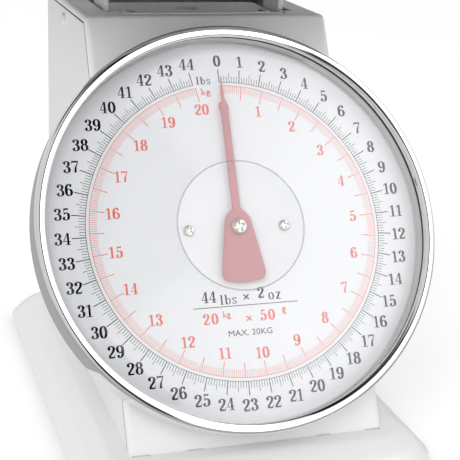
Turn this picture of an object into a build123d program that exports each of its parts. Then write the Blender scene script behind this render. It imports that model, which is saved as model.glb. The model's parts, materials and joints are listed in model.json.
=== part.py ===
"""Mechanical dial platform scale: steel plinth, sloping housing, round dial and a square load platform.

Millimetres, +Z up, the dial faces -Y, the origin lies on the ground under the middle of the overall box.
Hidden works: a load frame on two parallel links hangs from two extension springs; a pin on the rack
rides in a slot of the load frame's driver arm, and the rack turns the pointer's pinion.
"""
from build123d import *
import math
import os

# plinth
SHEET = 1.2
BASE_TOP = 19.0
BASE_FOLD = 13.4
BASE_EDGE = 5.6
BASE_HALF = 100.0
BASE_FRONT = -163.0
BASE_BACK = 136.0
FOOT_X = 80.0
FOOT_FRONT = -136.0
FOOT_BACK = 110.0

# housing
WALL = 1.0
BODY_HALF = 73.0
BODY_TOP = 232.5
BODY_BACK = 114.0
RETURN = 4.0
BEND = 3.5

# dial axis
TILT = 30.0
DIAL_Y = -79.0
DIAL_Z = 124.0
PANEL = -4.6
FACE_R = 108.6
BEZEL_R = 115.0
BEZEL_IN = 109.0
LENS_LOW = 9.4
LENS_TOP = 11.8
DIAL_SCREW_X = 28.0

# rack and pinion: module 0.5, 14 teeth, 350 degrees for the full travel
MODULE = 0.5
TEETH = 14
PITCH_R = MODULE * TEETH / 2
RACK_H = -25.0
TRAVEL = 18.6
PIN_S = 30.0
PIN_R = 1.5

# load frame and links
CHEEK_IN = 53.2
CHEEK_OUT = 56.2
CHEEK_FRONT = 17.0
LINK_IN = 49.5
LINK_OUT = 51.5
EAR_IN = 46.4
EAR_OUT = 48.9
PIVOT_BACK = 88.0
PIVOT_FRONT = 20.0
LOW_PIVOT = 50.7
HIGH_PIVOT = 176.0
SHAFT_R = 3.0
RUN = 0.05
SPRING_X = 22.0
SPRING_Y = 36.0
SPRING_R = 8.0
WIRE_R = 1.1
SHELF_Z = 196.0

# platform
PLAT_HALF = 112.5
PLAT_Y = 50.5
PLAT_TOP = 270.0
PLAT_SKIRT = 12.0
PAD_REACH = 86.0
SPIDER_Z = 254.0

DIAL = Plane(
    origin=(0, DIAL_Y, DIAL_Z),
    x_dir=(1, 0, 0),
    z_dir=(0, -math.cos(math.radians(TILT)), math.sin(math.radians(TILT))),
)


def block(x0, x1, y0, y1, z0, z1):
    return Pos((x0 + x1) / 2, (y0 + y1) / 2, (z0 + z1) / 2) * Box(x1 - x0, y1 - y0, z1 - z0)


def rod_z(x, y, z0, z1, r):
    return Pos(x, y, (z0 + z1) / 2) * Cylinder(r, z1 - z0)


def rod_x(x0, x1, y, z, r):
    return Pos((x0 + x1) / 2, y, z) * Rot(0, 90, 0) * Cylinder(r, x1 - x0)


def rod_y(x, y0, y1, z, r):
    return Pos(x, (y0 + y1) / 2, z) * Rot(90, 0, 0) * Cylinder(r, y1 - y0)


def on_dial(shape):
    return DIAL.location * shape


def spun(points):
    """A ring or disc turned about the dial axis from (radius, height) points."""
    outline = Polyline(*[(r, 0, h) for r, h in points], close=True)
    return revolve(make_face(outline), Axis.Z)


def group(parts):
    return Compound(children=list(parts))


def front_y(z, inset=0.0):
    """Where the sloping front panel's outer face lies at a height."""
    a = math.radians(TILT)
    y_at_dial = DIAL_Y - PANEL * math.cos(a) + (z - DIAL_Z + -PANEL * math.sin(a)) * math.tan(a)
    return y_at_dial + inset / math.cos(a)


def body_outline(inset):
    """Side view of the housing, drawn inwards by the inset on the front, top and back."""
    top = BODY_TOP - inset
    back = BODY_BACK - inset
    return [(front_y(BASE_TOP, inset), BASE_TOP), (front_y(top, inset), top), (back, top), (back, BASE_TOP)]


def body_prism(inset, x0, x1):
    outline = Polyline(*[(0, y, z) for y, z in body_outline(inset)], close=True)
    return Pos(x0, 0, 0) * extrude(make_face(outline), amount=x1 - x0, dir=(1, 0, 0))


def long_edges(solid, half):
    """The front, top and back edges that run round both sides, and the two top bends."""
    picked = []
    for edge in solid.edges():
        box = edge.bounding_box()
        on_side = abs(abs(box.min.X) - half) < 0.01 and box.max.X - box.min.X < 0.01
        on_bend = box.max.X - box.min.X > half and box.min.Z > BASE_TOP + 1
        if (on_side and box.max.Z > BASE_TOP + 1) or on_bend:
            picked.append(edge)
    return picked


def pan_screw(shank_r, length, head_r, head_h):
    """Cross-head pan screw, head seated at z = 0 and shank downwards."""
    head = Pos(0, 0, head_h / 2) * Cylinder(head_r, head_h)
    head = fillet(head.edges().group_by(Axis.Z)[-1], head_h * 0.62)
    shank = Pos(0, 0, -length / 2) * Cylinder(shank_r, length)
    cross = Pos(0, 0, head_h) * (Box(head_r, head_r * 0.2, head_h) + Box(head_r * 0.2, head_r, head_h))
    return head + shank - cross


def hex_bolt(shank_r, length, across, head_h):
    head = extrude(RegularPolygon(across / math.sqrt(3), 6), head_h)
    return head + Pos(0, 0, -length / 2) * Cylinder(shank_r, length)


def plinth_solid(inset, drop):
    """Raised deck, sloping shoulder and spreading skirt, with rounded corners."""
    levels = [
        (BASE_TOP, 83.0, -143.5, 120.0, 16.0),
        (BASE_FOLD, 92.7, -156.0, 129.0, 24.0),
        (BASE_EDGE, BASE_HALF, BASE_FRONT, BASE_BACK, 30.0),
    ]
    faces = []
    for z, half, y0, y1, r in levels:
        wide = 2 * (half - inset)
        deep = y1 - y0 - 2 * inset
        outline = RectangleRounded(wide, deep, r - inset)
        faces.append(Pos(0, (y0 + y1) / 2, z - drop) * outline)
    upper = loft([faces[1], faces[0]], ruled=True)
    lower = loft([faces[2], faces[1]], ruled=True)
    return upper + lower


POST_SPOTS = [(-62, -118), (62, -118), (-62, 100), (62, 100)]
FRAME_SPOTS = [(-30, 76), (30, 76), (-30, 92), (30, 92)]
TAB_SPOTS = [-66.5, -37.0, 37.0, 66.5]


def tab_block(x, grow):
    y = front_y(BASE_TOP)
    return block(x - 4 - grow, x + 4 + grow, y - grow, y + 1.3 + grow, 16.0, BASE_TOP + 0.6)


def base_shell():
    shell = plinth_solid(0.0, 0.0) - plinth_solid(SHEET, SHEET)
    for x, y in POST_SPOTS + FRAME_SPOTS:
        shell -= rod_z(x, y, BASE_TOP - 3, BASE_TOP + 1, 2.6)
    for x in TAB_SPOTS:
        shell -= tab_block(x, 0.5)
    return shell


def base_plate():
    mid = (BASE_FRONT + BASE_BACK) / 2
    deep = BASE_BACK - BASE_FRONT - 8
    plate = extrude(Pos(0, mid, 5.8) * RectangleRounded(192, deep, 26), 1.2)
    for x, y in POST_SPOTS:
        plate -= rod_z(x, y, 5, 8, 2.6)
    for y in (-60, -40, 30, 50):
        plate -= block(-40, 40, y - 2, y + 2, 5, 8)
    return plate


def base_posts():
    posts = []
    for x, y in POST_SPOTS:
        posts.append(rod_z(x, y, 7.0, BASE_TOP - SHEET, 6.0) - rod_z(x, y, 6, BASE_TOP, 2.05))
    return group(posts)


def base_plate_screws():
    return group(Pos(x, y, 5.8) * Rot(180, 0, 0) * pan_screw(2.0, 11.0, 4.2, 2.4) for x, y in POST_SPOTS)


def rubber_feet():
    feet = []
    for x in (-FOOT_X, FOOT_X):
        for y in (FOOT_FRONT, FOOT_BACK):
            foot = rod_z(x, y, 0, 5.8, 9.0)
            foot = chamfer(foot.edges().group_by(Axis.Z)[0], 1.0)
            feet.append(foot)
    return group(feet)


def housing_wrap():
    outer = body_prism(0.0, -BODY_HALF, BODY_HALF)
    outer = fillet(long_edges(outer, BODY_HALF), BEND)
    inner = body_prism(WALL, -BODY_HALF + WALL, BODY_HALF - WALL)
    inner = fillet(long_edges(inner, BODY_HALF - WALL), 2.0)
    inner += block(-BODY_HALF + WALL, BODY_HALF - WALL, -128, BODY_BACK - WALL, BASE_TOP - 1, BASE_TOP + 1)
    wrap = outer - inner
    wrap -= body_prism(RETURN, -BODY_HALF - 1, BODY_HALF + 1)
    wrap -= block(-BODY_HALF - 1, BODY_HALF + 1, -126, BODY_BACK - RETURN, BASE_TOP - 1, BASE_TOP + 3)
    wrap -= block(-58, 58, 5, 97, BODY_TOP - 3, BODY_TOP + 1)
    wrap -= block(-51.6, 51.6, -4.4, 6, BODY_TOP - 3, BODY_TOP + 1)
    wrap += block(-69, 69, BODY_BACK - 2, BODY_BACK - WALL, BODY_TOP - 14, BODY_TOP - 1)
    for side in (-1, 1):
        wrap += Pos(side * 70.0, 51.5, 223.5) * Box(2.0, 14, 16.4)
        wrap -= rod_x(side * 70 - 3, side * 70 + 3, 51.5, 221.5, 1.85)
    wrap -= on_dial(Pos(0, 0, PANEL) * Cylinder(8.0, 6))
    for x in (-DIAL_SCREW_X, DIAL_SCREW_X):
        wrap -= on_dial(Pos(x, 0, PANEL) * Cylinder(2.1, 6))
    for x in TAB_SPOTS:
        wrap += tab_block(x, 0.0)
    return wrap


def side_panel(side):
    gap = 0.35
    outer = body_prism(RETURN + gap, BODY_HALF - WALL, BODY_HALF)
    tongue = body_prism(WALL + 2.2, BODY_HALF - 2 * WALL, BODY_HALF - WALL)
    panel = outer + tongue
    panel -= rod_x(60, 80, 51.5, 221.5, 2.1)
    return panel if side > 0 else mirror(panel, Plane.YZ)


def side_panel_screws():
    right = Pos(BODY_HALF, 51.5, 221.5) * Rot(0, 90, 0) * pan_screw(1.8, 5.0, 3.8, 2.2)
    return group([right, mirror(right, Plane.YZ)])


def dial_pan():
    """Formed dish: floor under the printed face, step down to the panel, and the rim that takes the lens."""
    dish = spun([(9, -1.8), (9, -0.8), (109.4, -0.8), (109.4, -3.6), (111.8, -3.6), (111.8, 7.0),
                 (113.3, 7.0), (113.3, PANEL), (108.4, PANEL), (108.4, -1.8)])
    dish += spun([(9, PANEL), (9, -1.8), (12, -1.8), (12, PANEL)])
    for x in (-DIAL_SCREW_X, DIAL_SCREW_X):
        dish += Pos(x, 0, (PANEL - 1.8) / 2) * Cylinder(6.0, -1.8 - PANEL)
        dish -= Pos(x, 0, -3) * Cylinder(2.1, 6)
    return on_dial(dish)


def dial_face():
    face = Pos(0, 0, -0.4) * Cylinder(FACE_R, 0.8)
    face -= Pos(0, 0, -0.4) * Cylinder(6.0, 2)
    for x in (-DIAL_SCREW_X, DIAL_SCREW_X):
        face -= Pos(x, 0, -0.4) * Cylinder(2.1, 2)
    return on_dial(face)


def dial_screws():
    return group(on_dial(Pos(x, 0, 0) * pan_screw(2.0, 7.5, 3.35, 1.9)) for x in (-DIAL_SCREW_X, DIAL_SCREW_X))


def bezel():
    """Polished ring: straight wall, rolled outer corner, lip falling slightly to its inner edge."""
    points = [(113.5, PANEL), (BEZEL_R, PANEL), (BEZEL_R, 9.4)]
    for k in range(1, 9):
        a = math.radians(90 * k / 8)
        points.append((111.4 + 3.6 * math.cos(a), 9.4 + 4.9 * math.sin(a)))
    points += [(109.6, 13.6), (BEZEL_IN, 12.9), (BEZEL_IN, 10.6), (113.5, 10.6)]
    return on_dial(spun(points))


def lens_gasket():
    return on_dial(spun([(109.8, 7.0), (109.8, 8.2), (113.2, 8.2), (113.2, 7.0)]))


def lens():
    pane = spun([(0, LENS_LOW), (100.5, LENS_LOW), (106.5, 8.2), (113.2, 8.2), (113.2, 10.6), (108.6, 10.6),
                 (101.5, LENS_TOP), (0, LENS_TOP)])
    pane -= spun([(36.4, LENS_LOW - 0.2), (36.4, LENS_LOW + 0.3), (37.0, LENS_LOW + 0.3), (37.0, LENS_LOW - 0.2)])
    return on_dial(pane)


def pointer():
    arm = Polyline((0, 87.5), (0.5, 84), (0.8, 73.5), (2.6, 70), (2.5, 68.2), (2.15, 65), (2.4, 6), (-2.4, 6),
                   (-2.15, 65), (-2.5, 68.2), (-2.6, 70), (-0.8, 73.5), (-0.5, 84), close=True)
    tail = Polyline((-7.9, 1), (-12.9, -26.5), (-11.2, -30), (0, -31), (11.2, -30), (12.9, -26.5), (7.9, 1),
                    close=True)
    shape = make_face(arm) + Circle(8.1) + make_face(tail)
    blade = Pos(0, 0, 3.1) * extrude(shape, 0.9)
    blade += Pos(0, 0, 2.15) * Cylinder(4.5, 1.9)
    return on_dial(blade - Pos(0, 0, 2.4) * Cylinder(2.01, 4))


def pointer_screw():
    return on_dial(Pos(0, 0, 4.0) * pan_screw(1.2, 7.0, 4.65, 2.6))


def spindle():
    rod = Pos(0, 0, (3.9 - 38.5) / 2) * Cylinder(2.0, 42.4)
    rod += Pos(0, 0, -10.7) * Cylinder(3.5, 1.4)
    rod += Pos(0, 0, -31.9) * Cylinder(3.5, 1.4)
    return on_dial(rod - Pos(0, 0, 0) * Cylinder(1.25, 8.2))


def tooth(width_root, width_tip, low, high):
    """Straight-flanked tooth pointing along +X from radius low to high."""
    return Polyline((low, -width_root / 2), (high, -width_tip / 2), (high, width_tip / 2), (low, width_root / 2),
                    close=True)


def pinion():
    disc = Circle(PITCH_R - 0.64)
    for k in range(TEETH):
        disc += Rot(0, 0, (k + 0.5) * 360 / TEETH) * make_face(tooth(1.05, 0.3, PITCH_R - 0.8, PITCH_R + 0.36))
    wheel = Pos(0, 0, RACK_H - 4) * extrude(disc, 8.0)
    return on_dial(wheel - Pos(0, 0, RACK_H) * Cylinder(2.0, 10))


def rack():
    bar = make_face(Polyline((PITCH_R + 0.7, -24), (8, -24), (8, 36), (PITCH_R + 0.7, 36), close=True))
    for k in range(-2, 17):
        bar += Pos(0, k * math.pi * MODULE, 0) * make_face(tooth(-1.0, -0.34, PITCH_R + 0.9, PITCH_R - 0.36))
    body = Pos(0, 0, RACK_H - 1.5) * extrude(bar, 3.0)
    return on_dial(body - Pos(0, PIN_S, RACK_H) * Rot(0, 90, 0) * Cylinder(1.0, 30))


def rack_pin():
    pin = Pos(11.9, PIN_S, RACK_H) * Rot(0, 90, 0) * Cylinder(PIN_R, 7.8)
    pin += Pos(6.0, PIN_S, RACK_H) * Rot(0, 90, 0) * Cylinder(1.0, 4.0)
    return on_dial(pin)


def rack_guide():
    guide = block(6.0, 12.0, -20, 4, -34, -21) - block(5, 8.08, -21, 5, RACK_H - 1.56, RACK_H + 1.56)
    return on_dial(guide)


MOVEMENT_POSTS = [(-18, 24), (-18, -24), (14, -30)]


def movement_front_plate():
    plate = Pos(0, 0, -6.6) * extrude(RectangleRounded(76, 70, 8), 1.0, both=True)
    plate -= Pos(0, 0, -6.6) * Cylinder(5.02, 4)
    for x in (-DIAL_SCREW_X, DIAL_SCREW_X):
        plate -= Pos(x, 0, -6.6) * Cylinder(2.02, 4)
    for x, y in MOVEMENT_POSTS:
        plate -= Pos(x, y, -6.6) * Cylinder(1.65, 4)
    return on_dial(plate)


def movement_rear_plate():
    plate = block(-24, 12, -36, 32, -36, -34) + block(11, 20, -36, -23, -36, -34)
    plate -= Pos(0, 0, -35) * Cylinder(5.02, 4)
    for x, y in MOVEMENT_POSTS:
        plate -= Pos(x, y, -35) * Cylinder(1.65, 4)
    return on_dial(plate)


def movement_posts():
    posts = []
    for x, y in MOVEMENT_POSTS:
        post = Pos(x, y, -20.8) * Cylinder(3.0, 26.4)
        post += Pos(x, y, -21.2) * Cylinder(1.6, 31.2)
        post += Pos(x, y, -36.4) * Cylinder(2.6, 0.8)
        posts.append(on_dial(post))
    return group(posts)


def spindle_bushes():
    front = Pos(0, 0, -6.8) * Cylinder(5.0, 5.6) + Pos(0, 0, -8.6) * Cylinder(6.5, 2.0)
    front -= Pos(0, 0, -7) * Cylinder(2.0 + RUN, 10)
    rear = Pos(0, 0, -35.0) * Cylinder(5.0, 4.0) + Pos(0, 0, -33.4) * Cylinder(5.8, 1.2)
    rear -= Pos(0, 0, -35) * Cylinder(2.0 + RUN, 10)
    return group([on_dial(front), on_dial(rear)])


def main_frame():
    """Folded back plate with a foot, a spring shelf and ears for the link pivots."""
    frame = block(-EAR_OUT, EAR_OUT, 100, 102.5, BASE_TOP, SHELF_Z + 2.5)
    frame += block(-44, 44, 68, 102.5, BASE_TOP, BASE_TOP + 2.5)
    frame += block(-34, 34, 24, 102.5, SHELF_Z, SHELF_Z + 2.5)
    frame += block(-34, -31.5, 60, 102.5, SHELF_Z - 14, SHELF_Z + 1)
    frame += block(31.5, 34, 60, 102.5, SHELF_Z - 14, SHELF_Z + 1)
    for z in (LOW_PIVOT, HIGH_PIVOT):
        for side in (-1, 1):
            x0, x1 = sorted((side * EAR_IN, side * EAR_OUT))
            frame += block(x0, x1, 79, 102, z - 9, z + 9)
        frame -= rod_x(-60, 60, PIVOT_BACK, z, SHAFT_R)
    for x, y in FRAME_SPOTS:
        frame -= rod_z(x, y, BASE_TOP - 1, BASE_TOP + 4, 2.6)
    frame -= block(-26, 26, 95, 108, 70, 160)
    return frame - rod_z(0, SPRING_Y, SHELF_Z - 1, SHELF_Z + 4, 3.1)


def frame_screws():
    return group(Pos(x, y, BASE_TOP + 2.5) * pan_screw(2.5, 9.5, 4.6, 3.0) for x, y in FRAME_SPOTS)


def frame_nuts():
    nuts = []
    for x, y in FRAME_SPOTS:
        nut = extrude(RegularPolygon(4.6, 6), 4.0) - Pos(0, 0, 2) * Cylinder(2.55, 6)
        nuts.append(Pos(x, y, BASE_TOP - SHEET - 4.0) * nut)
    return group(nuts)


def link(z_back):
    """Stamped link: two arms joined by a web, round hole at the back, slot at the load frame."""
    rise = TRAVEL / 2
    run = math.hypot(PIVOT_BACK - PIVOT_FRONT, rise)
    arm = SlotCenterToCenter(run, 13.0)
    hole = Pos(run / 2, 0) * Circle(SHAFT_R + RUN)
    slot = Pos(-run / 2, 0) * SlotCenterToCenter(2.2, 2 * SHAFT_R + 0.3)
    plate = extrude(arm - hole - slot, LINK_OUT - LINK_IN)
    lean = math.degrees(math.asin(rise / run))
    place = Pos(0, (PIVOT_BACK + PIVOT_FRONT) / 2, z_back + rise / 2) * Rot(-lean, 0, 0)
    upright = Rot(0, 90, 0) * Rot(0, 0, 90)
    made = place * Pos(LINK_IN, 0, 0) * upright * plate
    made += place * Pos(-LINK_OUT, 0, 0) * upright * plate
    return made + place * block(-LINK_IN, LINK_IN, -2, 18, -1.0, 1.0)


def frame_shafts():
    shafts = []
    for z in (LOW_PIVOT, HIGH_PIVOT):
        shaft = rod_x(-53.0, 53.0, PIVOT_BACK, z, SHAFT_R)
        shaft -= rod_x(-52.6, -51.8, PIVOT_BACK, z, 5) - rod_x(-52.6, -51.8, PIVOT_BACK, z, 2.4)
        shaft -= rod_x(51.8, 52.6, PIVOT_BACK, z, 5) - rod_x(51.8, 52.6, PIVOT_BACK, z, 2.4)
        shafts.append(shaft)
    return group(shafts)


def shaft_clips():
    clips = []
    for z in (LOW_PIVOT, HIGH_PIVOT):
        for x in (-52.55, 51.85):
            clip = rod_x(x, x + 0.7, PIVOT_BACK, z, 5.0) - rod_x(x - 1, x + 2, PIVOT_BACK, z, 2.45)
            clips.append(clip - block(x - 1, x + 2, PIVOT_BACK - 1.9, PIVOT_BACK + 1.9, z - 6, z))
    return group(clips)


def load_shafts():
    shafts = []
    for z in (LOW_PIVOT, HIGH_PIVOT):
        shaft = rod_x(-58.0, 58.0, PIVOT_FRONT, z + TRAVEL / 2, SHAFT_R)
        shaft += rod_x(-59.4, -CHEEK_OUT, PIVOT_FRONT, z + TRAVEL / 2, 4.5)
        shaft += rod_x(CHEEK_OUT, 59.4, PIVOT_FRONT, z + TRAVEL / 2, 4.5)
        shafts.append(shaft)
    return group(shafts)


def load_frame():
    """Two upright cheeks tied by a top plate, a front plate and the spring bar."""
    frame = block(-CHEEK_IN, CHEEK_IN, 5, 45, 226.5, 228.5)
    frame += block(-CHEEK_IN, CHEEK_IN, 15, 17, 125, 150)
    frame += block(-CHEEK_IN, CHEEK_IN, 31, 41, 74, 78)
    for side in (-1, 1):
        x0, x1 = sorted((side * CHEEK_IN, side * CHEEK_OUT))
        frame += block(x0, x1, 5, 45, 48, SPIDER_Z)
        f0, f1 = sorted((side * 38, side * CHEEK_OUT))
        frame += block(f0, f1, 5, 45, SPIDER_Z - 2, SPIDER_Z)
        frame -= block(x0, x1, 4, CHEEK_FRONT, BODY_TOP - 2.5, SPIDER_Z - 2)
        frame -= rod_z(side * 46, 14, SPIDER_Z - 4, SPIDER_Z + 1, 2.6)
        frame -= rod_z(side * 46, 36, SPIDER_Z - 4, SPIDER_Z + 1, 2.6)
        frame -= rod_z(side * 41.5, 12, 225, 230, 2.05)
        frame -= rod_z(side * SPRING_X, SPRING_Y, 70, 80, 1.35)
    for z in (LOW_PIVOT, HIGH_PIVOT):
        frame -= rod_x(-60, 60, PIVOT_FRONT, z + TRAVEL / 2, SHAFT_R)
    for z in (131, 144):
        frame -= rod_y(18.4, 10, 20, z, 1.8)
    return frame - rod_z(0, SPRING_Y, 225, 230, 8.0)


def load_tray():
    """Shallow tray seen in the opening: rounded front corners and an upturned front lip."""
    tray = extrude(Pos(0, 28.3, 228.5) * RectangleRounded(101, 63.4, 5), 1.5)
    rim = extrude(Pos(0, 28.3, 230.0) * RectangleRounded(101, 63.4, 5), 2.8)
    rim -= extrude(Pos(0, 28.9, 229.0) * RectangleRounded(98.6, 62.2, 4), 5.0)
    tray += rim - block(-60, 60, 8, 70, 230.0, 240)
    for x in (-41.5, 41.5):
        tray -= rod_z(x, 12, 228, 231, 2.2)
    return tray - rod_z(0, SPRING_Y, 228, 232, 7.0)


def tray_screws():
    return group(Pos(x, 12, 230.0) * pan_screw(2.0, 7.0, 4.1, 2.6) for x in (-41.5, 41.5))


def driver_arm():
    """Arm that carries the rack pin's slot; the slot lets the sloping rack come forward as it goes down."""
    a = math.radians(TILT)
    pin_y = DIAL_Y - RACK_H * math.cos(a) + PIN_S * math.sin(a)
    pin_z = DIAL_Z + RACK_H * math.sin(a) + PIN_S * math.cos(a)
    reach = TRAVEL * math.tan(a)
    arm = block(13.0, 15.0, pin_y - reach - 4.0, 15.0, pin_z - 5, pin_z + 5)
    arm += block(13.0, 22.0, 13.0, 15.0, 127, 148)
    half = PIN_R + 0.08
    arm -= block(12, 16, pin_y - reach, pin_y, pin_z - half, pin_z + half)
    arm -= rod_x(12, 16, pin_y, pin_z, half)
    arm -= rod_x(12, 16, pin_y - reach, pin_z, half)
    for z in (131, 144):
        arm -= rod_y(18.4, 10, 16, z, 1.8)
    return arm


def driver_screws():
    return group(Pos(18.4, 13, z) * Rot(90, 0, 0) * pan_screw(1.7, 6.0, 3.0, 1.8) for z in (131, 144))


def spring(side):
    """Extension spring with straight ends that pass the hanger and the spring bar and end in a bead."""
    x = side * SPRING_X
    low, high = 86.0, 170.0
    helix = Helix(pitch=4.2, height=high - low, radius=SPRING_R)
    coil = sweep(Plane(helix @ 0, z_dir=helix % 0) * Circle(WIRE_R), path=helix, is_frenet=True)
    body = Pos(x, SPRING_Y, low) * coil
    thin = WIRE_R - 0.1
    for z, end in ((low, 72.35), (high, 188.65)):
        body += rod_x(x, x + SPRING_R + 0.3, SPRING_Y, z, thin)
        body += Pos(x, SPRING_Y, z) * Sphere(WIRE_R)
        body += rod_z(x, SPRING_Y, min(z, end), max(z, end), thin)
        body += Pos(x, SPRING_Y, end) * Sphere(2.1)
    return body


def spring_hanger():
    bar = block(-30, 30, 30, 42, 182, 187)
    bar -= rod_z(0, SPRING_Y, 180, 190, 3.06)
    for side in (-1, 1):
        bar -= rod_z(side * SPRING_X, SPRING_Y, 180, 190, 1.35)
    return bar


def zero_screw():
    screw = rod_z(0, SPRING_Y, 178, SHELF_Z + 2.5, 3.0)
    screw += Pos(0, SPRING_Y, SHELF_Z + 2.5) * extrude(RegularPolygon(5.8, 6), 4.4)
    return screw - block(-8, 8, SPRING_Y - 0.8, SPRING_Y + 0.8, SHELF_Z + 5.2, SHELF_Z + 8)


def spider_corner(sx, sy):
    return sx * PAD_REACH, PLAT_Y + sy * PAD_REACH


def platform_spider():
    spider = block(-60, 60, 2, 99, SPIDER_Z, SPIDER_Z + 3)
    for sx in (-1, 1):
        for sy in (-1, 1):
            x, y = spider_corner(sx, sy)
            mid = ((sx * 30 + x) / 2, (PLAT_Y + sy * 30 + y) / 2)
            long = math.hypot(x - sx * 30, y - PLAT_Y - sy * 30)
            arm = Pos(mid[0], mid[1], SPIDER_Z + 1.5) * Rot(0, 0, 45 * sx * sy) * Box(long, 20, 3)
            spider += arm + rod_z(x, y, SPIDER_Z, SPIDER_Z + 3, 11.0)
            spider -= rod_z(x, y, SPIDER_Z - 1, SPIDER_Z + 4, 3.6)
    for x in (-46, 46):
        for y in (14, 36):
            spider -= rod_z(x, y, SPIDER_Z - 1, SPIDER_Z + 4, 2.6)
    return spider - rod_z(0, SPRING_Y, SPIDER_Z - 1, SPIDER_Z + 4, 12.0)


def spider_bolts():
    return group(Pos(x, y, SPIDER_Z + 3) * hex_bolt(2.5, 10.0, 8.0, 3.5) for x in (-46, 46) for y in (14, 36))


def spider_nuts():
    nuts = []
    for x in (-46, 46):
        for y in (14, 36):
            nut = extrude(RegularPolygon(4.6, 6), 4.0) - Pos(0, 0, 2) * Cylinder(2.55, 6)
            nuts.append(Pos(x, y, SPIDER_Z - 6.0) * nut)
    return group(nuts)


def platform_pads():
    pads = []
    for sx in (-1, 1):
        for sy in (-1, 1):
            x, y = spider_corner(sx, sy)
            pad = rod_z(x, y, SPIDER_Z + 3, PLAT_TOP - SHEET, 9.0) + rod_z(x, y, SPIDER_Z - 1, SPIDER_Z + 3, 3.5)
            pads.append(pad - rod_z(x, y, SPIDER_Z + 2, PLAT_TOP, 3.4))
    return group(pads)


def platform():
    """Square pan turned upside down: flat top, rounded edge, short skirt, four locating studs."""
    top = PLAT_TOP
    outer = extrude(Pos(0, PLAT_Y, top - PLAT_SKIRT) * RectangleRounded(2 * PLAT_HALF, 2 * PLAT_HALF, 14), PLAT_SKIRT)
    outer = fillet(outer.edges().group_by(Axis.Z)[-1], 3.5)
    wide = 2 * (PLAT_HALF - SHEET)
    inner = extrude(Pos(0, PLAT_Y, top - PLAT_SKIRT - 1) * RectangleRounded(wide, wide, 12.8), PLAT_SKIRT + 1 - SHEET)
    inner = fillet(inner.edges().group_by(Axis.Z)[-1], 2.3)
    pan = outer - inner
    for sx in (-1, 1):
        for sy in (-1, 1):
            x, y = spider_corner(sx, sy)
            pan += rod_z(x, y, top - 8.0, top - SHEET + 0.2, 3.0)
    return pan


def main():
    os.makedirs("parts", exist_ok=True)
    nodes = {
        "base_shell": base_shell(),
        "base_plate": base_plate(),
        "base_posts": base_posts(),
        "base_plate_screws": base_plate_screws(),
        "rubber_feet": rubber_feet(),
        "housing_wrap": housing_wrap(),
        "side_panel_left": side_panel(-1),
        "side_panel_right": side_panel(1),
        "side_panel_screws": side_panel_screws(),
        "dial_pan": dial_pan(),
        "dial_face": dial_face(),
        "dial_screws": dial_screws(),
        "bezel": bezel(),
        "lens_gasket": lens_gasket(),
        "lens": lens(),
        "pointer": pointer(),
        "pointer_screw": pointer_screw(),
        "spindle": spindle(),
        "pinion": pinion(),
        "rack": rack(),
        "rack_pin": rack_pin(),
        "rack_guide": rack_guide(),
        "movement_front_plate": movement_front_plate(),
        "movement_rear_plate": movement_rear_plate(),
        "movement_posts": movement_posts(),
        "spindle_bushes": spindle_bushes(),
        "main_frame": main_frame(),
        "frame_screws": frame_screws(),
        "frame_nuts": frame_nuts(),
        "upper_link": link(HIGH_PIVOT),
        "lower_link": link(LOW_PIVOT),
        "frame_shafts": frame_shafts(),
        "shaft_clips": shaft_clips(),
        "load_shafts": load_shafts(),
        "load_frame": load_frame(),
        "load_tray": load_tray(),
        "tray_screws": tray_screws(),
        "driver_arm": driver_arm(),
        "driver_screws": driver_screws(),
        "spring_left": spring(-1),
        "spring_right": spring(1),
        "spring_hanger": spring_hanger(),
        "zero_screw": zero_screw(),
        "platform_spider": platform_spider(),
        "spider_bolts": spider_bolts(),
        "spider_nuts": spider_nuts(),
        "platform_pads": platform_pads(),
        "platform": platform(),
    }
    for name, shape in nodes.items():
        export_step(shape, f"parts/{name}.step")


main()
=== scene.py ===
"""Looks of a mechanical dial platform scale: powder-coated steel housing on a plinth, large printed dial
under a clear lens in a polished bezel, red pointer, and a square stainless platform on top.

Lengths inside the shape functions are millimetres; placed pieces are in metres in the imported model's frame.
Dial coordinates are right, up and out of the dial, from where the pointer's axis meets the printed face.
"""

import json
import math

import bmesh
import bpy
import numpy as np
from bpy.props import FloatProperty, FloatVectorProperty, PointerProperty
from mathutils import Matrix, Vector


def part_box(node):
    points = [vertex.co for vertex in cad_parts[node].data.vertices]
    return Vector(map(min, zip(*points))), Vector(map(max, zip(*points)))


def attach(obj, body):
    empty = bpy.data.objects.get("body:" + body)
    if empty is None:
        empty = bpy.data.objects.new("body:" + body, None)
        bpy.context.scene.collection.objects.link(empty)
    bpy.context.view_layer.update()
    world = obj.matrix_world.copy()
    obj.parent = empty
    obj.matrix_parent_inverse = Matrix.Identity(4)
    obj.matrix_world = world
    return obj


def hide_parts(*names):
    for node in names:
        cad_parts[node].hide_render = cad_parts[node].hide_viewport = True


bl_info = {
    "name": "Dial Platform Scale",
    "version": (1, 0, 0),
    "blender": (4, 5, 0),
    "location": "View3D > Sidebar > Scale",
    "description": "Builds the looks of a mechanical dial platform scale piece by piece",
    "category": "Object",
}

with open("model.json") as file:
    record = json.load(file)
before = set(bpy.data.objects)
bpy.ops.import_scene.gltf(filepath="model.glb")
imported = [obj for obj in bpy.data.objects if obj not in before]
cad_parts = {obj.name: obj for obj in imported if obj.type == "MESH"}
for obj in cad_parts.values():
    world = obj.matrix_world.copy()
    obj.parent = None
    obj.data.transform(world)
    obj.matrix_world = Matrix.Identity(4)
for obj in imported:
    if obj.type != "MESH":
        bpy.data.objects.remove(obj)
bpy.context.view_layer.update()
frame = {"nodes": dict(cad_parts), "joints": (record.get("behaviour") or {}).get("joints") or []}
NODES = frame["nodes"]
JOINTS = {joint["name"]: joint for joint in frame["joints"]}

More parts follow.
